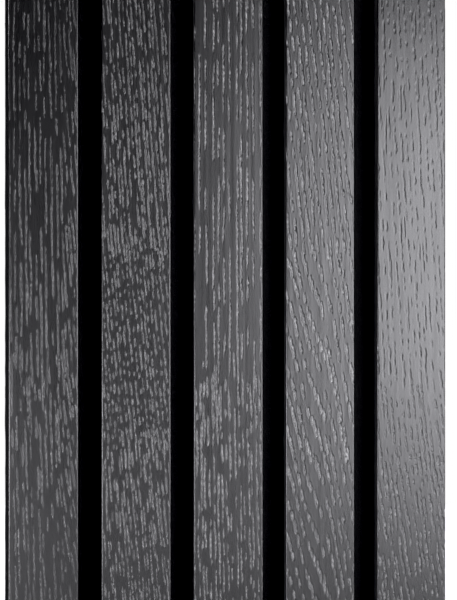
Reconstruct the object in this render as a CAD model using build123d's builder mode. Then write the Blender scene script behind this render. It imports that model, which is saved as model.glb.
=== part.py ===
"""Acoustic slat panel: lacquered oak slats glued and stapled to a felt backing board.

The wall plane is y = 0, the slats face -Y and stand along Z. The origin is the
centre of the felt's back face, the face that lies against the wall.
"""

import os

from build123d import *

# Driving dimensions, in millimetres
slat_count = 5
slat_width = 30.0
slat_thickness = 12.0
slat_gap = 10.0
panel_height = 300.0
front_arris_radius = 0.3
end_arris_break = 0.2
felt_thickness = 9.0
felt_side_margin = 2.0
staple_crown_width = 12.8
staple_wire_width = 0.95
staple_wire_thickness = 0.65
staple_bend_radius = 0.9
staple_bite = 5.0
staple_sink = 0.4
staple_groove_clearance = 0.15
staple_row_count = 4
staple_end_distance = 30.0

# Sizes and places that follow from them
slat_pitch = slat_width + slat_gap
slat_row_width = slat_count * slat_pitch - slat_gap
felt_width = slat_row_width + 2 * felt_side_margin
slat_centre_y = -felt_thickness - slat_thickness / 2
staple_row_pitch = (panel_height - 2 * staple_end_distance) / (staple_row_count - 1)
staple_leg_offset = (staple_crown_width - staple_wire_thickness) / 2
staple_crown_depth = staple_sink + staple_wire_thickness / 2
staple_tip_depth = felt_thickness + staple_bite
groove_length = staple_crown_width + 2 * staple_groove_clearance
groove_width = staple_wire_width + 2 * staple_groove_clearance
groove_depth = staple_sink + staple_wire_thickness

# The foot of the panel, and the wall seen from the front, whose normal points into the panel
foot_plane = Plane.XY.offset(-panel_height / 2)
wall_plane = Plane.XZ


def slat_centre_x(number):
    """Middle of a slat, counted from 1 at the left."""
    return (number - (slat_count + 1) / 2) * slat_pitch


# One staple, flat wire bent into a U. Its own Z is the depth from the wall.
with BuildPart() as staple:
    with BuildLine(Plane.XZ) as wire_path:
        FilletPolyline(
            (-staple_leg_offset, staple_tip_depth),
            (-staple_leg_offset, staple_crown_depth),
            (staple_leg_offset, staple_crown_depth),
            (staple_leg_offset, staple_tip_depth),
            radius=staple_bend_radius,
        )
    with BuildSketch(Plane.XY.offset(staple_tip_depth)):
        with Locations((-staple_leg_offset, 0)):
            Rectangle(staple_wire_thickness, staple_wire_width)
    sweep(path=wire_path.line)

# All the staples, a column of them behind each slat
with BuildPart(wall_plane) as staples:
    with GridLocations(slat_pitch, staple_row_pitch, slat_count, staple_row_count):
        add(staple.part)
staples.part.label = "staples"

# Felt board, grooved at the back where the staple crowns press in
with BuildPart() as felt_backing:
    with BuildSketch(foot_plane):
        with Locations((0, -felt_thickness / 2)):
            Rectangle(felt_width, felt_thickness)
    extrude(amount=panel_height)
    with BuildSketch(wall_plane):
        with GridLocations(slat_pitch, staple_row_pitch, slat_count, staple_row_count):
            Rectangle(groove_length, groove_width)
    extrude(amount=groove_depth, mode=Mode.SUBTRACT)
    add(staples.part, mode=Mode.SUBTRACT)
felt_backing.part.label = "felt_backing"


def build_slat(number):
    """One slat: a flat-backed section with eased front arrises, sawn square and bitten by its staples."""
    with BuildPart() as slat:
        with BuildSketch(foot_plane) as section:
            with Locations((slat_centre_x(number), slat_centre_y)):
                Rectangle(slat_width, slat_thickness)
            fillet(section.vertices().group_by(Axis.Y)[0], front_arris_radius)
        extrude(amount=panel_height)
        for end in (0, -1):
            end_edges = slat.faces().sort_by(Axis.Z)[end].edges()
            chamfer(end_edges.sort_by(Axis.Y)[:-1], end_arris_break)
        add(staples.part, mode=Mode.SUBTRACT)
    slat.part.label = f"slat_{number}"
    return slat.part


os.makedirs("parts", exist_ok=True)
export_step(felt_backing.part, "parts/felt_backing.step")
export_step(staples.part, "parts/staples.step")
for slat_number in range(1, slat_count + 1):
    export_step(build_slat(slat_number), f"parts/slat_{slat_number}.step")
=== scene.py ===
"""Slat panel studio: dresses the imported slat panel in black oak, felt and staple wire, and lights it.

Lengths are in metres, as Blender has them. The grain is laid out in millimetres and degrees.
"""

import math
from typing import NamedTuple

import bpy
import numpy as np
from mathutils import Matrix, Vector


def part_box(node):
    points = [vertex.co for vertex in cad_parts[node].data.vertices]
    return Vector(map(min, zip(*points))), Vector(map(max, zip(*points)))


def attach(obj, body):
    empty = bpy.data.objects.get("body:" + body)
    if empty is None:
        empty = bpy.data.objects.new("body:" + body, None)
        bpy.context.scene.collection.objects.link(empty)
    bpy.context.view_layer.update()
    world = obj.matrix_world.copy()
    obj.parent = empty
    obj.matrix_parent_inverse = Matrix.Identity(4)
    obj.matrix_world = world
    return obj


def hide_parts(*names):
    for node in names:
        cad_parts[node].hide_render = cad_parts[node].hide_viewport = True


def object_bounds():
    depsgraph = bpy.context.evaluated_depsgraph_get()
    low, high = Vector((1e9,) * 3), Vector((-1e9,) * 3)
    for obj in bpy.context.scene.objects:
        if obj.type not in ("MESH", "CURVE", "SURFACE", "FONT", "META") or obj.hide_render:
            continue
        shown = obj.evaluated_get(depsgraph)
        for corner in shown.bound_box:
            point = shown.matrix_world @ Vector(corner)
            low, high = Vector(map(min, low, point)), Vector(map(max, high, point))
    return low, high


bl_info = {
    "name": "Slat Panel Studio",
    "version": (1, 0, 0),
    "blender": (4, 5, 0),
    "location": "View3D > Sidebar > Slat Panel",
    "description": "Builds an acoustic panel of open-pored black oak slats on felt, with its studio",
    "category": "Object",
}

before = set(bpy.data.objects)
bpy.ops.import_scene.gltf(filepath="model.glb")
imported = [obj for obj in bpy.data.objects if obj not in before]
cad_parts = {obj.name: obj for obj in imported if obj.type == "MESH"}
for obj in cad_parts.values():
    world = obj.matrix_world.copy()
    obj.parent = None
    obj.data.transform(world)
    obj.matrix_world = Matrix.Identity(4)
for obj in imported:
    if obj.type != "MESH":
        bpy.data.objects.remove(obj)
CAD_LOW, CAD_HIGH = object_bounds()

MM = 0.001
SLAT_NODES = sorted(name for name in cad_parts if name.startswith("slat_"))
FELT_NODE = "felt_backing"
STAPLE_NODE = "staples"
STAPLE_ROWS = 4
BODY = "root"
BAKE_MAP = "OFBake"
PORE_ATTRIBUTE = "pore"

# Shader values: a noise's middle, plain white, and a Mix node's colour sockets by number,
# because its other sockets have the same names
NOISE_MIDDLE = 0.5
WHITE = (1.0, 1.0, 1.0, 1.0)
MIX_FIRST, MIX_SECOND, MIX_RESULT = 6, 7, 2

# Places, widths and heights of lights where no setting holds them, and how many times the rim power
# each rim light has
FILL_SIZE = (0.3, 0.1)
TOP_PLACE, TOP_SIZE = (0.0, 0.35, 1.5), (2.2, 2.2)
RIGHT_RIM_PLACE, RIGHT_RIM_SIZE, RIGHT_RIM_GAIN = (0.55, -0.45, -0.10), (0.12, 0.10), 0.5
LEFT_RIM_PLACE, LEFT_RIM_SIZE, LEFT_RIM_GAIN = (-0.52, -0.45, -0.11), (0.12, 0.08), 1.6
BACK_PLACE, BACK_SIZE = (-0.5, 0.75, 0.45), (0.5, 0.5)


class PoreBand(NamedTuple):
    """A stretch of like pores on a slat's face, in millimetres from the slat's middle, and degrees.

    Pores follow one another in ranks: across is the step between ranks, along the step within
    one, and rank how far it leans. length and width give the smallest and the largest pore, and
    kept is the share of places that hold one. lean tilts a pore's top to the left, by its first
    value at the left of x_span and its second at the right. depth, soft and pale say how deep
    the pores lie, how gently their walls slope and how much of the pale pore filler they hold.
    """

    across: float
    along: float
    rank: float
    length: tuple
    width: tuple
    kept: float
    lean: tuple
    depth: float
    soft: float
    pale: float
    x_span: tuple
    z_span: tuple


# Limits that the bands share, a little past the edges and ends of a slat's face
LEFT, RIGHT = -16.0, 16.0
FOOT, TOP = -152.0, 152.0

# Grain of each slat, from the left: every slat is cut from another sheet of oak
SLAT_GRAIN = (
    (
        PoreBand(
            across=2.30, along=16.0, rank=0.5, length=(6.5, 25.0), width=(0.42, 0.68), kept=0.96,
            lean=(-0.5, 1.5), depth=0.8, soft=1.0, pale=0.43, x_span=(LEFT, 9.0), z_span=(-33.0, TOP),
        ),
        PoreBand(
            across=1.95, along=10.0, rank=5.0, length=(4.0, 14.0), width=(0.38, 0.64), kept=0.94,
            lean=(3.0, 7.0), depth=0.8, soft=1.0, pale=0.46, x_span=(9.0, RIGHT), z_span=(-34.0, TOP),
        ),
        PoreBand(
            across=2.10, along=12.5, rank=1.5, length=(4.5, 18.5), width=(0.40, 0.65), kept=0.95,
            lean=(0.5, 3.0), depth=0.8, soft=1.0, pale=0.44, x_span=(LEFT, 7.0), z_span=(FOOT, -31.0),
        ),
        PoreBand(
            across=1.85, along=10.0, rank=8.0, length=(4.0, 14.0), width=(0.38, 0.62), kept=0.93,
            lean=(6.0, 10.0), depth=0.8, soft=1.0, pale=0.52, x_span=(7.0, RIGHT), z_span=(FOOT, -31.0),
        ),
    ),
    (
        PoreBand(
            across=1.75, along=7.4, rank=4.0, length=(3.2, 11.0), width=(0.36, 0.61), kept=0.96,
            lean=(3.0, 5.0), depth=0.9, soft=1.3, pale=1.34, x_span=(LEFT, RIGHT), z_span=(22.0, TOP),
        ),
        PoreBand(
            across=1.78, along=4.4, rank=6.0, length=(1.6, 5.0), width=(0.33, 0.55), kept=0.96,
            lean=(5.0, 8.0), depth=0.9, soft=1.0, pale=0.65, x_span=(LEFT, RIGHT), z_span=(-63.0, 29.0),
        ),
        PoreBand(
            across=1.52, along=9.2, rank=4.5, length=(3.8, 12.5), width=(0.35, 0.58), kept=0.95,
            lean=(3.0, 6.0), depth=0.9, soft=1.0, pale=1.25, x_span=(LEFT, RIGHT), z_span=(FOOT, -58.0),
        ),
    ),
    (
        PoreBand(
            across=2.60, along=17.0, rank=0.2, length=(6.0, 28.0), width=(0.43, 0.62), kept=0.93,
            lean=(-0.3, 0.6), depth=1.0, soft=1.0, pale=3.40, x_span=(LEFT, RIGHT), z_span=(-37.0, TOP),
        ),
        PoreBand(
            across=1.85, along=8.5, rank=1.0, length=(2.8, 13.0), width=(0.45, 0.75), kept=0.87,
            lean=(0.0, 2.0), depth=1.0, soft=1.0, pale=2.20, x_span=(LEFT, RIGHT), z_span=(FOOT, -31.0),
        ),
    ),
    (
        PoreBand(
            across=2.85, along=5.8, rank=7.0, length=(2.8, 8.5), width=(0.54, 0.85), kept=0.95,
            lean=(3.0, 6.0), depth=1.8, soft=1.3, pale=4.30, x_span=(LEFT, RIGHT), z_span=(20.0, TOP),
        ),
        PoreBand(
            across=4.90, along=4.8, rank=17.0, length=(3.4, 7.4), width=(0.62, 0.90), kept=1.00,
            lean=(10.0, 7.0), depth=1.8, soft=1.6, pale=5.20, x_span=(LEFT, 2.0), z_span=(-66.0, 24.0),
        ),
        PoreBand(
            across=3.80, along=4.8, rank=12.0, length=(2.6, 7.0), width=(0.57, 0.88), kept=0.96,
            lean=(7.0, 4.0), depth=1.7, soft=1.5, pale=5.00, x_span=(2.0, RIGHT), z_span=(-66.0, 24.0),
        ),
        PoreBand(
            across=4.60, along=4.8, rank=17.0, length=(3.4, 7.4), width=(0.62, 0.90), kept=1.00,
            lean=(10.0, 7.0), depth=1.8, soft=1.6, pale=2.70, x_span=(LEFT, 2.0), z_span=(FOOT, -64.0),
        ),
        PoreBand(
            across=3.20, along=4.8, rank=12.0, length=(2.6, 7.0), width=(0.56, 0.85), kept=0.96,
            lean=(7.0, 4.0), depth=1.7, soft=1.5, pale=2.50, x_span=(2.0, RIGHT), z_span=(FOOT, -64.0),
        ),
    ),
    (
        PoreBand(
            across=2.70, along=3.9, rank=3.5, length=(1.1, 5.2), width=(0.58, 0.98), kept=0.78,
            lean=(1.0, 6.0), depth=0.8, soft=1.0, pale=0.10, x_span=(LEFT, RIGHT), z_span=(-40.0, TOP),
        ),
        PoreBand(
            across=8.00, along=26.0, rank=2.0, length=(9.0, 18.0), width=(0.46, 0.74), kept=0.70,
            lean=(0.0, 4.0), depth=0.85, soft=1.0, pale=0.10, x_span=(LEFT, RIGHT), z_span=(-40.0, TOP),
        ),
        PoreBand(
            across=2.35, along=3.9, rank=6.0, length=(1.2, 5.4), width=(0.60, 0.94), kept=0.80,
            lean=(3.0, 8.0), depth=1.3, soft=1.1, pale=0.90, x_span=(LEFT, RIGHT), z_span=(-70.0, -39.0),
        ),
        PoreBand(
            across=2.20, along=3.8, rank=8.0, length=(1.3, 5.4), width=(0.60, 0.94), kept=0.82,
            lean=(4.0, 9.0), depth=1.7, soft=1.1, pale=1.80, x_span=(LEFT, RIGHT), z_span=(FOOT, -69.0),
        ),
    ),
)


class Pores(NamedTuple):
    """Every pore of one slat, as arrays of one value a pore, with lengths in millimetres.

    slope is the tangent of its lean and phase the start of its wander, in radians.
    """

    x: np.ndarray
    z: np.ndarray
    half_length: np.ndarray
    half_width: np.ndarray
    slope: np.ndarray
    phase: np.ndarray
    soft: np.ndarray
    strength: np.ndarray
    pale: np.ndarray


class SlatSettings(bpy.types.PropertyGroup):
    """Sizes and finish of the oak slats."""

    seed: bpy.props.IntProperty(
        name="Grain seed", description="Start of the grain's random draws", default=11
    )
    arris: bpy.props.FloatProperty(
        name="Arris radius", description="Rounding of the long front edges", default=0.55 * MM, unit="LENGTH"
    )
    end_break: bpy.props.FloatProperty(
        name="End break", description="Width of the broken edge at an end", default=0.2 * MM, unit="LENGTH"
    )
    pore_depth: bpy.props.FloatProperty(
        name="Pore depth", description="How deep the open pores lie", default=0.12 * MM, unit="LENGTH"
    )
    lip_height: bpy.props.FloatProperty(
        name="Lip height", description="Lacquer bead along a pore's edge", default=0.012 * MM, unit="LENGTH"
    )
    # Flanks: duller lacquer, and a paler colour that is painted light, standing in for light reaching the
    # flanks in the gaps
    flank_dullness_and_painted_light: bpy.props.FloatProperty(
        name="Flank dullness and painted light", description="How dull the flanks are and how pale, a paleness that is painted light", default=0.5,
        subtype="FACTOR",
    )
    face_columns: bpy.props.IntProperty(
        name="Face columns", description="Mesh columns across a face", default=160
    )
    rows: bpy.props.IntProperty(name="Rows", description="Mesh rows along a slat", default=500)
    lacquer: bpy.props.FloatVectorProperty(
        name="Lacquer", description="Colour of the lacquer", subtype="COLOR", default=(0.0030, 0.0030, 0.0032)
    )
    pore_tone: bpy.props.FloatVectorProperty(
        name="Pore tone", description="Colour inside a pore", subtype="COLOR", default=(0.080, 0.080, 0.080)
    )
    sheen: bpy.props.FloatProperty(
        name="Lacquer roughness", description="Roughness of the satin ground", default=0.288, subtype="FACTOR"
    )
    pore_sheen: bpy.props.FloatProperty(
        name="Pore roughness", description="Roughness inside a pore", default=0.52, subtype="FACTOR"
    )


class FeltSettings(bpy.types.PropertyGroup):
    """Sizes and finish of the felt board."""

    seed: bpy.props.IntProperty(
        name="Felt seed", description="Start of the felt's random draws", default=5
    )
    corner: bpy.props.FloatProperty(
        name="Edge softness", description="Rounding of the cut edges", default=0.5 * MM, unit="LENGTH"
    )
    nap: bpy.props.FloatProperty(
        name="Nap", description="Height of the felt's uneven surface", default=0.10 * MM, unit="LENGTH"
    )
    dent_width: bpy.props.FloatProperty(
        name="Dent width", description="How far the felt sinks by a staple", default=1.7 * MM, unit="LENGTH"
    )
    tone: bpy.props.FloatVectorProperty(
        name="Felt", description="Colour of the felt", subtype="COLOR", default=(0.006, 0.006, 0.0062)
    )
    fleck: bpy.props.FloatVectorProperty(
        name="Fibre fleck", description="Colour of the paler fibres", default=(0.026, 0.026, 0.027),
        subtype="COLOR",
    )


class StapleSettings(bpy.types.PropertyGroup):
    """Finish of the staples."""

    zinc: bpy.props.FloatVectorProperty(
        name="Zinc", description="Colour of the wire's coat", subtype="COLOR", default=(0.52, 0.52, 0.51)
    )
    sheen: bpy.props.FloatProperty(
        name="Wire roughness", description="Roughness of the wire", default=0.38, subtype="FACTOR"
    )


class StageSettings(bpy.types.PropertyGroup):
    """Camera, lights and floor."""

    camera_side: bpy.props.FloatProperty(
        name="Camera side", description="Camera's place along the panel", default=-0.0635, unit="LENGTH"
    )
    camera_distance: bpy.props.FloatProperty(
        name="Camera distance", description="From the slat faces to the camera", default=0.900, unit="LENGTH"
    )
    lens: bpy.props.FloatProperty(
        name="Lens", description="Focal length in millimetres", default=124.8, unit="CAMERA"
    )
    key_place: bpy.props.FloatVectorProperty(
        name="Key place", description="Middle of the key light", default=(0.314, -0.62, 0.031),
        subtype="TRANSLATION",
    )
    key_size: bpy.props.FloatVectorProperty(
        name="Key size", description="Width and height of the key light", size=2, default=(0.44, 0.335),
        unit="LENGTH",
    )
    key_power: bpy.props.FloatProperty(
        name="Key power", description="Power of the key light", default=5.86, unit="POWER"
    )
    fill_place: bpy.props.FloatVectorProperty(
        name="Fill place", description="Middle of the low fill light", default=(-0.316, -0.55, -0.09),
        subtype="TRANSLATION",
    )
    fill_power: bpy.props.FloatProperty(
        name="Fill power", description="Power of the low fill light", default=1.236, unit="POWER"
    )
    rim_power: bpy.props.FloatProperty(
        name="Rim power", description="Base power of the low lights beside the panel", default=2.1,
        unit="POWER",
    )
    top_power: bpy.props.FloatProperty(
        name="Top power", description="Power of the light over the floor", default=42.0, unit="POWER"
    )
    back_power: bpy.props.FloatProperty(
        name="Back power", description="Power of the light behind the panel", default=5.25, unit="POWER"
    )
    black_level: bpy.props.FloatProperty(
        name="Black level", description="Light that the picture shows as black", default=0.0110
    )
    lamp_tint: bpy.props.FloatVectorProperty(
        name="Lamp tint", description="Colour of the lamps", subtype="COLOR", default=(0.958, 0.953, 1.0)
    )
    room: bpy.props.FloatProperty(name="Room light", description="Light of the dim room", default=0.004)
    floor_tone: bpy.props.FloatVectorProperty(
        name="Floor", description="Colour of the floor", subtype="COLOR", default=(0.90, 0.90, 0.90)
    )


class PanelSettings(bpy.types.PropertyGroup):
    """All settings of the slat panel."""

    slats: bpy.props.PointerProperty(type=SlatSettings)
    felt: bpy.props.PointerProperty(type=FeltSettings)
    staples: bpy.props.PointerProperty(type=StapleSettings)
    stage: bpy.props.PointerProperty(type=StageSettings)


class Signal:
    """A number that varies over a surface. Each operator adds one Math node to the tree of its socket."""

    def __init__(self, socket):
        self.socket = socket

    def joined(self, operation, first, second):
        """Result of that operation on two values, of which one at least is a Signal."""
        tree = self.socket.id_data
        node = add_node(tree, "ShaderNodeMath", {"operation": operation}, {0: first, 1: second})
        return Signal(node.outputs[0])

    def __add__(self, other):
        return self.joined("ADD", self, other)

    def __radd__(self, other):
        return self.joined("ADD", other, self)

    def __sub__(self, other):
        return self.joined("SUBTRACT", self, other)

    def __rsub__(self, other):
        return self.joined("SUBTRACT", other, self)

    def __mul__(self, other):
        return self.joined("MULTIPLY", self, other)

    def __rmul__(self, other):
        return self.joined("MULTIPLY", other, self)

    def __truediv__(self, other):
        return self.joined("DIVIDE", self, other)

    def __rtruediv__(self, other):
        return self.joined("DIVIDE", other, self)


def set_inputs(node, inputs):
    """Sets a node's inputs by name or number: numbers and colours are put in, sockets and Signals linked."""
    links = node.id_data.links
    for name, value in inputs.items():
        socket = node.inputs[name]
        if isinstance(value, Signal):
            links.new(value.socket, socket)
        elif isinstance(value, bpy.types.NodeSocket):
            links.new(value, socket)
        else:
            socket.default_value = value


def set_stops(ramp, stops):
    """Gives the two stops of a new ramp their places and levels of grey."""
    for element, (place, level) in zip(ramp.elements, stops):
        element.position = place
        element.color = (level, level, level, 1.0)


def add_node(tree, kind, settings=None, inputs=None):
    """Adds a node of that kind, sets its settings, such as a ramp's stops, and then its inputs."""
    node = tree.nodes.new(kind)
    for name, value in (settings or {}).items():
        if name == "stops":
            set_stops(node.color_ramp, value)
        else:
            setattr(node, name, value)
    set_inputs(node, inputs or {})
    return node


def new_finish(name):
    """An empty material with a Principled shader: the material, its tree and the shader."""
    material = bpy.data.materials.new(name)
    material.use_nodes = True
    tree = material.node_tree
    tree.nodes.clear()
    shader = add_node(tree, "ShaderNodeBsdfPrincipled")
    add_node(tree, "ShaderNodeOutputMaterial", inputs={"Surface": shader.outputs["BSDF"]})
    return material, tree, shader


def cloud(tree, scale, detail=3.0, distortion=0.0):
    """Noise on Object coordinates, with its own scale along each axis in cells per metre."""
    place = add_node(tree, "ShaderNodeTexCoord")
    spread = add_node(
        tree, "ShaderNodeVectorMath", {"operation": "MULTIPLY"}, {0: place.outputs["Object"], 1: scale}
    )
    noise = add_node(
        tree,
        "ShaderNodeTexNoise",
        {"noise_dimensions": "3D"},
        {"Vector": spread.outputs[0], "Scale": 1.0, "Detail": detail, "Distortion": distortion},
    )
    return Signal(noise.outputs["Fac"])


def opaque(colour, gain=1.0):
    """Colour times gain, with the full alpha that a colour socket takes."""
    return (*(gain * level for level in colour), 1.0)


def blend_colours(tree, factor, first, second):
    """Colour that goes from first to second as factor goes from 0 to 1."""
    node = add_node(
        tree,
        "ShaderNodeMix",
        {"data_type": "RGBA", "clamp_factor": False},
        {"Factor": factor, MIX_FIRST: first, MIX_SECOND: second},
    )
    return node.outputs[MIX_RESULT]


def bumped(tree, height, distance, strength=1.0):
    """Normal of a surface that rises with height, by distance in metres where height is 1."""
    inputs = {"Strength": strength, "Distance": distance, "Height": height}
    return add_node(tree, "ShaderNodeBump", inputs=inputs).outputs["Normal"]


def lacquered_oak(settings):
    """Satin black lacquer over open pores, with fine fibre lines along the slat.

    The pore attribute says how much pale filler a place holds; on the flanks it holds painted light, a paler
    colour that stands in for light reaching them. Streaks of noise break the filler into specks, and a soft
    limit, a number over one plus a share of itself, tames the palest. Pores are rougher than the ground and a
    little lumpy.
    """
    grit_gain = 1.3
    speck_gain, speck_start = 2.8, 0.92
    filler_base, filler_gain, filler_limit = 0.20, 1.65, 0.25
    fibre_dulling, drift_dulling = 0.10, 0.05
    grit_dulling = (settings.pore_sheen - settings.sheen) / NOISE_MIDDLE
    fibre_rise, strand_rise, swell_rise, grit_rise = 0.006, 0.004, 0.07, 0.35
    material, tree, shader = new_finish("black_oak_lacquer")
    attribute = add_node(tree, "ShaderNodeAttribute", {"attribute_name": PORE_ATTRIBUTE})
    pore = Signal(attribute.outputs["Fac"])
    streak = cloud(tree, (1700.0, 1700.0, 750.0))
    fibre = cloud(tree, (4200.0, 4200.0, 130.0))
    strand = cloud(tree, (1400.0, 1400.0, 60.0), detail=2.0)
    drift = cloud(tree, (90.0, 90.0, 22.0), detail=2.0)
    swell = cloud(tree, (330.0, 330.0, 9.0), detail=1.0)
    grit = grit_gain * pore * streak / (1.0 + pore)
    speck = speck_gain * streak - speck_start
    filler = pore * (filler_base + filler_gain * speck * speck)
    filler = filler / (1.0 + filler_limit * filler)
    roughness = (
        settings.sheen
        + (fibre - NOISE_MIDDLE) * fibre_dulling
        + (drift - NOISE_MIDDLE) * drift_dulling
        + grit * grit_dulling
    )
    height = fibre * fibre_rise + strand * strand_rise + swell * swell_rise + grit * grit_rise
    inputs = {
        "Base Color": blend_colours(tree, filler, opaque(settings.lacquer), opaque(settings.pore_tone)),
        "Roughness": roughness,
        "Normal": bumped(tree, height, MM),
    }
    set_inputs(shader, inputs)
    return material


def sawn_board(settings):
    """Sawn slat end: matt black-dyed fibreboard with short crossed fibres and a little dust."""
    dust_gain = 4.0
    chip_start, chip_gain = 0.35, 0.5
    dullness, chip_dulling = 0.7, 0.25
    chip_rise, chip_strength = 0.06 * MM, 0.6
    material, tree, shader = new_finish("sawn_slat_end")
    chips = cloud(tree, (1500.0, 3800.0, 1500.0), detail=5.0)
    dust = cloud(tree, (5200.0, 5200.0, 5200.0), detail=1.0)
    dusty = (chips - chip_start) * chip_gain * dust
    inputs = {
        "Base Color": blend_colours(
            tree, dusty, opaque(settings.pore_tone), opaque(settings.pore_tone, dust_gain)
        ),
        "Roughness": dullness + chips * chip_dulling,
        "Normal": bumped(tree, chips, chip_rise, chip_strength),
    }
    set_inputs(shader, inputs)
    return material


def pressed_felt(settings):
    """Black pressed felt: swirled fibres in two sizes, pale flecks of single fibres, and a matt nap."""
    fleck_stops = ((0.52, 0.0), (0.72, 1.0))
    fleck_base, fleck_gain = 0.35, 0.65
    dullness, swirl_dulling = 0.86, 0.12
    strand_rise, nap_rise, nap_strength = 0.6, 0.25 * MM, 0.9
    material, tree, shader = new_finish("black_pressed_felt")
    swirl = cloud(tree, (900.0, 900.0, 900.0), detail=5.0, distortion=2.2)
    strand = cloud(tree, (2600.0, 2600.0, 420.0), detail=4.0, distortion=3.0)
    cross = cloud(tree, (420.0, 420.0, 2600.0), detail=4.0, distortion=3.0)
    crossing = strand * 0.5 + cross * 0.5
    fibres = add_node(tree, "ShaderNodeValToRGB", {"stops": fleck_stops}, {"Fac": crossing})
    fleck = Signal(fibres.outputs["Color"]) * (fleck_base + fleck_gain * swirl)
    height = swirl + strand * strand_rise + cross * strand_rise
    inputs = {
        "Base Color": blend_colours(tree, fleck, opaque(settings.tone), opaque(settings.fleck)),
        "Roughness": dullness + swirl * swirl_dulling,
        "Specular IOR Level": 0.2,
        "Sheen Weight": 0.08,
        "Sheen Roughness": 0.45,
        "Normal": bumped(tree, height, nap_rise, nap_strength),
    }
    set_inputs(shader, inputs)
    return material


def zinc_wire(settings):
    """Zinc-coated flat wire: drawn lines along the crown and a dull patchy coat."""
    dull_gain, patch_dulling = 0.55, 0.2
    drawn_rise, drawn_strength = 0.02 * MM, 0.4
    material, tree, shader = new_finish("zinc_staple_wire")
    drawn = cloud(tree, (350.0, 5000.0, 5000.0))
    patch = cloud(tree, (600.0, 600.0, 600.0), detail=2.0)
    inputs = {
        "Base Color": blend_colours(tree, patch, opaque(settings.zinc, dull_gain), opaque(settings.zinc)),
        "Metallic": 1.0,
        "Roughness": settings.sheen + (patch - NOISE_MIDDLE) * patch_dulling,
        "Normal": bumped(tree, drawn, drawn_rise, drawn_strength),
    }
    set_inputs(shader, inputs)
    return material


def pale_floor(settings):
    """Matt pale floor with a barely uneven tone."""
    shade_gain = 0.97
    material, tree, shader = new_finish("pale_floor")
    tone = cloud(tree, (6.0, 6.0, 6.0), detail=2.0)
    shade, light = opaque(settings.floor_tone, shade_gain), opaque(settings.floor_tone)
    inputs = {
        "Base Color": blend_colours(tree, tone, shade, light),
        "Roughness": 0.9,
        "Specular IOR Level": 0.1,
    }
    set_inputs(shader, inputs)
    return material


def smooth_step(low, high, value):
    """0 at low and 1 at high, with an even S between them and level past both; low may be the larger."""
    share = np.clip((value - low) / (high - low), 0.0, 1.0)
    return share * share * (3.0 - 2.0 * share)


def soft_noise(rng, shape, passes):
    """Random field of unit spread on a grid, evened out by averaging neighbours that many times."""
    field = rng.normal(size=shape)
    for _ in range(passes):
        field = (field + np.roll(field, 1, 0) + np.roll(field, 1, 1)) / 3
        field = (field + np.roll(field, -1, 0) + np.roll(field, -1, 1)) / 3
    return field / field.std()


def between(limits, share):
    """Value at that share of the way from the first limit to the second."""
    return limits[0] + share * (limits[1] - limits[0])


def scatter_pores(bands, rng):
    """Pores of one slat, drawn band by band.

    A band is a grid of places in ranks, sheared to the ranks' lean and wrapped at its sides. Each rank
    starts at a random height and is moved aside a little, each place moves a little along and aside too,
    and a sine across the slat makes the band's borders ragged. A pore's sizes, depth and paleness are
    drawn between limits.
    """
    rank_start, rank_lead, rank_sway = 1.6, 0.3, 0.2
    place_shift, side_shift = 0.7, 0.28
    border_wave, border_rate = 2.5, 0.45
    lean_spread = 1.0
    shortness = 1.3
    strength_limits, pale_limits = (0.5, 1.0), (0.4, 1.1)
    drawn = []
    for band in bands:
        x_low, x_high = band.x_span
        z_low, z_high = band.z_span
        ranks = round((x_high - x_low) / band.across)
        shape = (ranks, round((z_high - z_low) / band.along))
        column, row = np.indices(shape)
        start = rank_start * rng.random((ranks, 1)) - rank_lead
        shift = place_shift * (rng.random(shape) - 0.5)
        z = z_low + (row + start + shift) * band.along
        sway = rng.uniform(-rank_sway, rank_sway, (ranks, 1))
        aside = rng.uniform(-side_shift, side_shift, shape) / band.across
        x = (column + 0.5 + sway + aside) * band.across
        shear = math.tan(math.radians(band.rank)) * (z - (z_low + z_high) / 2)
        x = np.mod(x - shear, x_high - x_low)
        z = z + border_wave * np.sin(border_rate * x)
        lean = np.interp(x, (0.0, x_high - x_low), band.lean) + rng.normal(0.0, lean_spread, shape)
        half_length = between(band.length, rng.random(shape) ** shortness) / 2
        half_width = between(band.width, rng.random(shape)) / 2
        phase = rng.random(shape) * math.tau
        strength = rng.uniform(*strength_limits, shape) * band.depth
        kept = rng.random(shape) < band.kept
        pale = rng.uniform(*pale_limits, shape) * band.pale
        slope = np.tan(np.radians(lean))
        soft = np.full(shape, band.soft)
        fields = Pores(x_low + x, z, half_length, half_width, slope, phase, soft, strength, pale)
        drawn.append([field[kept] for field in fields])
    return Pores(*(np.concatenate(field) for field in zip(*drawn)))


def pore_gap(pores, across, along):
    """Gap across the slat from each place of a grid to the nearest pore's edge, negative inside the pore.

    It is in millimetres, and comes with that pore's softness, strength and paleness. A pore's middle line
    leans by its slope and wanders as a slow sine. Its half width swells a little as a quick sine, and
    closes at the ends as an ellipse of the fourth power does, to a little less than nothing.
    """
    wander, wander_period = 0.05, 16.0
    swell, swell_period, swell_lag = 0.14, 3.1, 3.0
    closing, closing_power = 0.15, 4
    far = 9.0
    gap = np.full((along.size, across.size), far)
    soft = np.ones_like(gap)
    strength = np.zeros_like(gap)
    pale = np.zeros_like(gap)
    places = np.arange(across.size)
    for row, height in enumerate(along):
        step = height - pores.z
        near = np.abs(step) < pores.half_length
        if not near.any():
            continue
        step, phase = step[near], pores.phase[near]
        turn = step * math.tau
        taper = (1.0 - np.abs(step / pores.half_length[near]) ** closing_power) ** (1.0 / closing_power)
        middle = pores.x[near] - pores.slope[near] * step + wander * np.sin(turn / wander_period + phase)
        swelling = 1.0 + swell * np.sin(turn / swell_period + swell_lag * phase)
        half = pores.half_width[near] * taper * swelling - closing * (1.0 - taper)
        edge = np.abs(across[None, :] - middle[:, None]) - half[:, None]
        nearest = edge.argmin(axis=0)
        gap[row] = edge[nearest, places]
        soft[row] = pores.soft[near][nearest]
        strength[row] = pores.strength[near][nearest]
        pale[row] = pores.pale[near][nearest]
    return gap, soft, strength, pale


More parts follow.
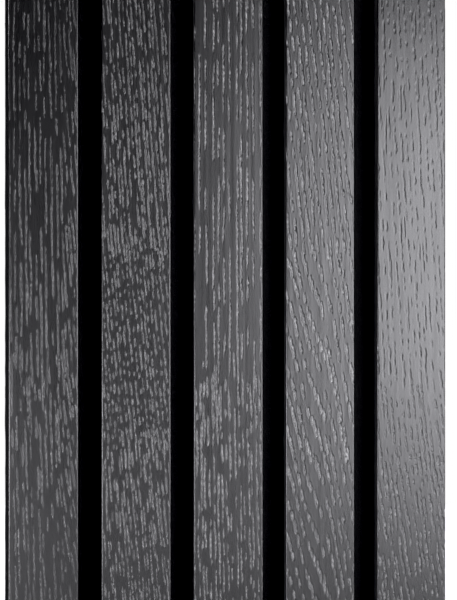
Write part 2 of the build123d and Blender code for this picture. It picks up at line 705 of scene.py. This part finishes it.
def slat_section(width, thickness, arris, face_columns):
    """Section of a slat, anticlockwise from above, from the back left corner to the back right one.

    The back lies on y = 0 and the face on y = -thickness, with a quarter circle at each front arris. Returns
    points, outward normals, and the distance from the middle of the face measured along the surface.
    """
    arc_steps = 4
    flank_places = np.array([0.0, 0.6, 0.88])
    half, flat = width / 2, width / 2 - arris
    turn = np.linspace(math.pi, 1.5 * math.pi, arc_steps + 1)
    left_arc = np.stack([-flat + arris * np.cos(turn), -thickness + arris + arris * np.sin(turn)], 1)
    left_normal = np.stack([np.cos(turn), np.sin(turn)], 1)
    left_reach = -flat - arris * (1.5 * math.pi - turn)
    depth = flank_places * (arris - thickness)
    left_side = np.stack([np.full(depth.size, -half), depth], 1)
    side_normal = np.tile([-1.0, 0.0], (depth.size, 1))
    side_reach = left_reach[0] - (depth + thickness - arris)
    face = np.linspace(-flat, flat, face_columns + 1)[1:-1]
    mirrored = np.array([-1.0, 1.0])
    points = np.concatenate(
        [
            left_side,
            left_arc,
            np.stack([face, np.full(face.size, -thickness)], 1),
            left_arc[::-1] * mirrored,
            left_side[::-1] * mirrored,
        ]
    )
    normals = np.concatenate(
        [
            side_normal,
            left_normal,
            np.tile([0.0, -1.0], (face.size, 1)),
            left_normal[::-1] * mirrored,
            side_normal * mirrored,
        ]
    )
    reach = np.concatenate([side_reach, left_reach, face, -left_reach[::-1], -side_reach[::-1]])
    return points, normals, reach


def bar_mesh(name, rings, end_material):
    """Closed mesh of rings of points, stacked upwards, each anticlockwise from above.

    rings is shaped (rings, points, 3). Neighbouring rings are joined by quads, and one face closes each
    end, with the material of that number. The bake map lays the rings out as a grid, with the two ends in
    a strip beside it.
    """
    sharp_angle = math.radians(62.0)
    wall_share = 0.94
    end_left, end_width, end_height = 0.95, 0.045, 0.45
    low_end_foot, high_end_foot = 0.02, 0.52
    count, around = rings.shape[:2]
    index = np.arange(count * around).reshape(count, around)
    after = np.roll(index, -1, axis=1)
    quads = np.stack([index[:-1], after[:-1], after[1:], index[1:]], -1).reshape(-1, 4)
    ends = [index[0, ::-1].tolist(), index[-1].tolist()]
    mesh = bpy.data.meshes.new(name)
    mesh.from_pydata(rings.reshape(-1, 3).tolist(), [], quads.tolist() + ends)
    for end in range(len(quads), len(mesh.polygons)):
        mesh.polygons[end].material_index = end_material
    mesh.polygons.foreach_set("use_smooth", np.ones(len(mesh.polygons), bool))
    mesh.set_sharp_from_angle(angle=sharp_angle)
    row, column = np.indices((count - 1, around))
    u = np.stack([column, column + 1, column + 1, column], -1) / around * wall_share
    v = np.stack([row, row, row + 1, row + 1], -1) / (count - 1)
    low, high = rings.min((0, 1)), rings.max((0, 1))
    flat = (rings[:, :, :2] - low[:2]) / (high[:2] - low[:2])
    laid_out = [np.stack([u, v], -1).reshape(-1, 2)]
    for end, foot in ((flat[0, ::-1], low_end_foot), (flat[-1], high_end_foot)):
        laid_out.append(np.stack([end_left + end_width * end[:, 1], foot + end_height * end[:, 0]], -1))
    layer = mesh.uv_layers.new(name=BAKE_MAP)
    layer.uv.foreach_set("vector", np.concatenate(laid_out).astype(np.float32).ravel())
    return mesh


def add_piece(name, mesh, materials, node):
    """Puts a mesh in the scene in place of a node of the frame, with its materials."""
    piece = bpy.data.objects.new(name, mesh)
    bpy.context.scene.collection.objects.link(piece)
    for material in materials:
        mesh.materials.append(material)
    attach(piece, BODY)
    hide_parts(node)
    return piece


def slat_mesh(number, node, settings):
    """One slat: its section carried upwards and drawn in at both sawn ends, its face cut by open pores.

    A pore is a flat-bottomed trough with an S-shaped wall and a low bead of lacquer, a bell curve, along its
    edge. Both fade out past the arris, where the pore attribute goes over to the flanks' even dullness and
    painted light: a paler flank colour that stands in for light reaching the flanks.
    """
    edge_noise = 0.11
    wall, bead_place, bead_spread = 0.18, 0.32, 0.22
    bare_wall = 0.22
    fade_start, fade_end = 0.5 * MM, 1.6 * MM
    low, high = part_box(node)
    width, thickness, length = high.x - low.x, high.y - low.y, high.z - low.z
    points, normals, reach = slat_section(width, thickness, settings.arris, settings.face_columns)
    height = np.linspace(-length / 2 + settings.end_break, length / 2 - settings.end_break, settings.rows + 1)
    height = np.concatenate([[-length / 2], height, [length / 2]])
    rng = np.random.default_rng(settings.seed + number)
    pores = scatter_pores(SLAT_GRAIN[number], rng)
    gap, soft, strength, pale = pore_gap(pores, reach / MM, height / MM)
    gap += edge_noise * soft_noise(rng, gap.shape, 1)
    trough = smooth_step(wall, -wall, gap / soft) * strength
    bead = np.exp(-(((gap / soft - bead_place) / bead_spread) ** 2)) * strength
    bare = smooth_step(0.0, -bare_wall, gap) * pale
    shown = smooth_step(width / 2 + fade_end, width / 2 + fade_start, np.abs(reach))
    # Painted light on the flanks: the pore attribute makes them paler as well as duller, standing in for
    # light reaching them in the gaps
    painted_flank_light_and_dullness = settings.flank_dullness_and_painted_light * (1.0 - shown)
    relief = (settings.lip_height * bead - settings.pore_depth * trough) * shown
    relief[[0, -1]] -= settings.end_break
    rings = np.empty((height.size, reach.size, 3))
    middle = (low + high) / 2
    rings[:, :, :2] = points + normals * relief[:, :, None] + (middle.x, high.y)
    rings[:, :, 2] = height[:, None] + middle.z
    mesh = bar_mesh(node, rings, end_material=1)
    attribute = mesh.attributes.new(PORE_ATTRIBUTE, "FLOAT", "POINT")
    attribute.data.foreach_set("value", (bare * shown + painted_flank_light_and_dullness).astype(np.float32).ravel())
    return mesh


def felt_rows(low, high, staple_rows, reach):
    """Heights of the felt's rows: coarse all over, and fine near each row of staples."""
    coarse, fine = 1.7 * MM, 0.4 * MM
    least_step = 0.45 * fine
    rows = [np.arange(low, high, coarse), [high]]
    rows += [np.arange(row - reach, row + reach, fine) for row in staple_rows]
    heights = np.unique(np.concatenate(rows))
    keep = np.concatenate([[True], np.diff(heights) > least_step])
    heights = heights[keep]
    heights[-1] = high
    return heights


def felt_section(half, depth, corner):
    """Section of the felt board, anticlockwise from above, with a quarter circle at each corner.

    The back lies on y = 0 and the front on y = -depth. Returns points and outward normals, each square to the
    line between a point's neighbours.
    """
    side_points, front_points, back_points, arc_points = 7, 66, 150, 4
    turn = np.linspace(0.0, math.pi / 2, arc_points)
    left_y = np.linspace(-corner, corner - depth, side_points)[1:-1]
    front_x = np.linspace(corner - half, half - corner, front_points)[1:-1]
    back_x = np.linspace(half - corner, corner - half, back_points)[1:-1]
    left = np.stack([np.full(left_y.size, -half), left_y], 1)
    front_left = np.stack([-half + corner - corner * np.cos(turn), corner - depth - corner * np.sin(turn)], 1)
    back_right = np.stack([half - corner + corner * np.cos(turn), -corner + corner * np.sin(turn)], 1)
    mirrored = np.array([-1.0, 1.0])
    points = np.concatenate(
        [
            left,
            front_left,
            np.stack([front_x, np.full(front_x.size, -depth)], 1),
            front_left[::-1] * mirrored,
            left[::-1] * mirrored,
            back_right,
            np.stack([back_x, np.zeros(back_x.size)], 1),
            back_right[::-1] * mirrored,
        ]
    )
    ahead = np.roll(points, -1, 0) - np.roll(points, 1, 0)
    normals = np.stack([ahead[:, 1], -ahead[:, 0]], 1) / np.linalg.norm(ahead, axis=1)[:, None]
    return points, normals


def felt_mesh(settings):
    """The felt board: a soft-cornered section carried upwards, with an uneven nap and a dent at each staple.

    A dent has a flat floor just under the staple's crown, and rises beside it in an S.
    """
    wire_width, wire_thickness, wire_clearance = 0.95 * MM, 0.65 * MM, 0.05 * MM
    floor_reach = 0.15 * MM
    broad_share, broad_passes = 0.7, 14
    fine_share, fine_passes = 0.45, 2
    nap_limit = 2.0
    back_share, end_share = 0.2, 0.6
    low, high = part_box(FELT_NODE)
    staples_low, staples_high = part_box(STAPLE_NODE)
    slats = [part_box(node) for node in SLAT_NODES]
    columns = np.array([(slat_low.x + slat_high.x) / 2 for slat_low, slat_high in slats])
    rows = np.linspace(staples_low.z + wire_width / 2, staples_high.z - wire_width / 2, STAPLE_ROWS)
    crown = (staples_high.x - staples_low.x) - (columns[-1] - columns[0])
    crown_floor = high.y - staples_high.y + wire_thickness + wire_clearance
    middle_x, corner = (low.x + high.x) / 2, settings.corner
    points, normals = felt_section((high.x - low.x) / 2, high.y - low.y, corner)
    heights = felt_rows(low.z, high.z, rows, settings.dent_width + wire_width)
    shape = (heights.size, len(points))
    rng = np.random.default_rng(settings.seed)
    nap = broad_share * soft_noise(rng, shape, broad_passes)
    nap += fine_share * soft_noise(rng, shape, fine_passes)
    relief = settings.nap * (np.clip(nap, -nap_limit, nap_limit) - nap_limit) / 2
    across = np.abs(points[:, 0, None] + middle_x - columns).min(1) - crown / 2
    up = np.abs(heights[:, None] - rows).min(1) - wire_width / 2
    away = np.hypot(np.maximum(across, 0.0)[None, :], np.maximum(up, 0.0)[:, None])
    at_back = points[:, 1] > -back_share * corner
    relief -= crown_floor * smooth_step(settings.dent_width, floor_reach, away) * at_back
    rings = np.empty((*shape, 3))
    rings[:, :, :2] = points + normals * relief[:, :, None] + (middle_x, high.y)
    rings[:, :, 2] = heights[:, None]
    rings[[0, -1], :, :2] -= normals * corner * end_share
    return bar_mesh(FELT_NODE, rings, end_material=0)


class SLATPANEL_OT_slats(bpy.types.Operator):
    """Build the five lacquered oak slats"""

    bl_idname = "slatpanel.slats"
    bl_label = "Build Slats"

    def execute(self, context):
        settings = context.scene.slat_panel.slats
        materials = (lacquered_oak(settings), sawn_board(settings))
        for number, node in enumerate(SLAT_NODES):
            add_piece(f"oak_{node}", slat_mesh(number, node, settings), materials, node)
        return {"FINISHED"}


class SLATPANEL_OT_felt(bpy.types.Operator):
    """Build the felt backing board"""

    bl_idname = "slatpanel.felt"
    bl_label = "Build Felt"

    def execute(self, context):
        settings = context.scene.slat_panel.felt
        materials = (pressed_felt(settings),)
        felt = add_piece("felt_board", felt_mesh(settings), materials, FELT_NODE)
        return {"FINISHED"}


class SLATPANEL_OT_staples(bpy.types.Operator):
    """Give the staples their zinc finish"""

    bl_idname = "slatpanel.staples"
    bl_label = "Finish Staples"

    def execute(self, context):
        material = zinc_wire(context.scene.slat_panel.staples)
        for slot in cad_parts[STAPLE_NODE].material_slots:
            slot.material = material
        return {"FINISHED"}


def turn_towards(item, target):
    """Turns a camera or a light, which look along their own -Z, towards a place."""
    item.rotation_euler = (Vector(target) - item.location).to_track_quat("-Z", "Y").to_euler()


def add_camera(scene, settings, face):
    """The scene's camera, level with the middle of the slat faces and aimed at it."""
    data = bpy.data.cameras.new("photo_camera")
    data.lens = settings.lens
    camera = bpy.data.objects.new("photo_camera", data)
    scene.collection.objects.link(camera)
    camera.location = face + Vector((settings.camera_side, -settings.camera_distance, 0.0))
    turn_towards(camera, face)
    scene.camera = camera


def add_light(scene, name, place, target, size, power, tint):
    """Rectangular soft light of that width and height, turned to target and hidden from the camera."""
    data = bpy.data.lights.new(name, "AREA")
    data.shape = "RECTANGLE"
    data.size, data.size_y = size
    data.energy = power
    data.color = tint
    light = bpy.data.objects.new(name, data)
    scene.collection.objects.link(light)
    light.location = place
    turn_towards(light, target)
    light.visible_camera = False


def add_lights(scene, settings, face):
    """The studio's soft lights: fill and rims look level at the slat faces, the top light straight down."""

    def level(place):
        """Place on the slat faces' middle line that is as high as the light."""
        return (face.x, face.y, place[2])

    key = (settings.key_place, face, settings.key_size, settings.key_power)
    fill = (settings.fill_place, level(settings.fill_place), FILL_SIZE, settings.fill_power)
    top = (TOP_PLACE, (*TOP_PLACE[:2], CAD_LOW.z), TOP_SIZE, settings.top_power)
    right_rim_power = settings.rim_power * RIGHT_RIM_GAIN
    left_rim_power = settings.rim_power * LEFT_RIM_GAIN
    right_rim = (RIGHT_RIM_PLACE, level(RIGHT_RIM_PLACE), RIGHT_RIM_SIZE, right_rim_power)
    left_rim = (LEFT_RIM_PLACE, level(LEFT_RIM_PLACE), LEFT_RIM_SIZE, left_rim_power)
    back = (BACK_PLACE, (0.0, 0.0, 0.0), BACK_SIZE, settings.back_power)
    lights = {
        "key_light": key,
        "fill_light": fill,
        "top_light": top,
        "right_rim_light": right_rim,
        "left_rim_light": left_rim,
        "back_light": back,
    }
    for name, light in lights.items():
        add_light(scene, name, *light, settings.lamp_tint)


def dim_room(settings):
    """World that looks white behind the panel and lights it as a dim room does."""
    world = bpy.data.worlds.new("dim_room")
    world.use_nodes = True
    tree = world.node_tree
    tree.nodes.clear()
    rays = add_node(tree, "ShaderNodeLightPath")
    room = add_node(tree, "ShaderNodeBackground", inputs={"Color": WHITE, "Strength": settings.room})
    white = add_node(tree, "ShaderNodeBackground", inputs={"Color": WHITE, "Strength": 1.0})
    mixed = add_node(
        tree,
        "ShaderNodeMixShader",
        inputs={0: rays.outputs["Is Camera Ray"], 1: room.outputs[0], 2: white.outputs[0]},
    )
    add_node(tree, "ShaderNodeOutputWorld", inputs={"Surface": mixed.outputs[0]})
    return world


def floor_mesh(height):
    """Flat round floor at that height: one face, its corners evenly spaced on a circle about the panel."""
    radius, corners = 0.62, 96
    turn = np.arange(corners) * math.tau / corners
    rim = np.stack([radius * np.cos(turn), radius * np.sin(turn), np.full(corners, height)], 1)
    mesh = bpy.data.meshes.new("floor")
    mesh.from_pydata(rim.tolist(), [], [list(range(corners))])
    return mesh


class SLATPANEL_OT_stage(bpy.types.Operator):
    """Set up the camera, the lights and the floor"""

    bl_idname = "slatpanel.stage"
    bl_label = "Set Stage"

    def execute(self, context):
        scene = context.scene
        settings = scene.slat_panel.stage
        face = Vector((0.0, CAD_LOW.y, (CAD_LOW.z + CAD_HIGH.z) / 2))
        add_camera(scene, settings, face)
        add_lights(scene, settings, face)
        scene.world = dim_room(settings)
        scene.view_settings.view_transform = "Standard"
        scene.view_settings.use_curve_mapping = True
        scene.view_settings.curve_mapping.black_level = [settings.black_level] * 3
        scene.view_settings.curve_mapping.update()
        floor = bpy.data.objects.new("floor", floor_mesh(CAD_LOW.z))
        floor.data.materials.append(pale_floor(settings))
        scene.collection.objects.link(floor)
        return {"FINISHED"}


class SLATPANEL_PT_sidebar(bpy.types.Panel):
    """Slat panel settings and build steps"""

    bl_label = "Slat Panel"
    bl_idname = "SLATPANEL_PT_sidebar"
    bl_space_type = "VIEW_3D"
    bl_region_type = "UI"
    bl_category = "Slat Panel"

    def draw(self, context):
        panel = context.scene.slat_panel
        groups = (
            (panel.slats, SLATPANEL_OT_slats),
            (panel.felt, SLATPANEL_OT_felt),
            (panel.staples, SLATPANEL_OT_staples),
            (panel.stage, SLATPANEL_OT_stage),
        )
        for settings, operator in groups:
            box = self.layout.box()
            for name in type(settings).__annotations__:
                box.prop(settings, name)
            box.operator(operator.bl_idname)


CLASSES = (
    SlatSettings,
    FeltSettings,
    StapleSettings,
    StageSettings,
    PanelSettings,
    SLATPANEL_OT_slats,
    SLATPANEL_OT_felt,
    SLATPANEL_OT_staples,
    SLATPANEL_OT_stage,
    SLATPANEL_PT_sidebar,
)


def register():
    for cls in CLASSES:
        bpy.utils.register_class(cls)
    bpy.types.Scene.slat_panel = bpy.props.PointerProperty(type=PanelSettings)


def unregister():
    del bpy.types.Scene.slat_panel
    for cls in reversed(CLASSES):
        bpy.utils.unregister_class(cls)


def main():
    """Builds the panel and its stage."""
    register()
    bpy.ops.slatpanel.slats()
    bpy.ops.slatpanel.felt()
    bpy.ops.slatpanel.staples()
    bpy.ops.slatpanel.stage()


if __name__ == "__main__":
    main()
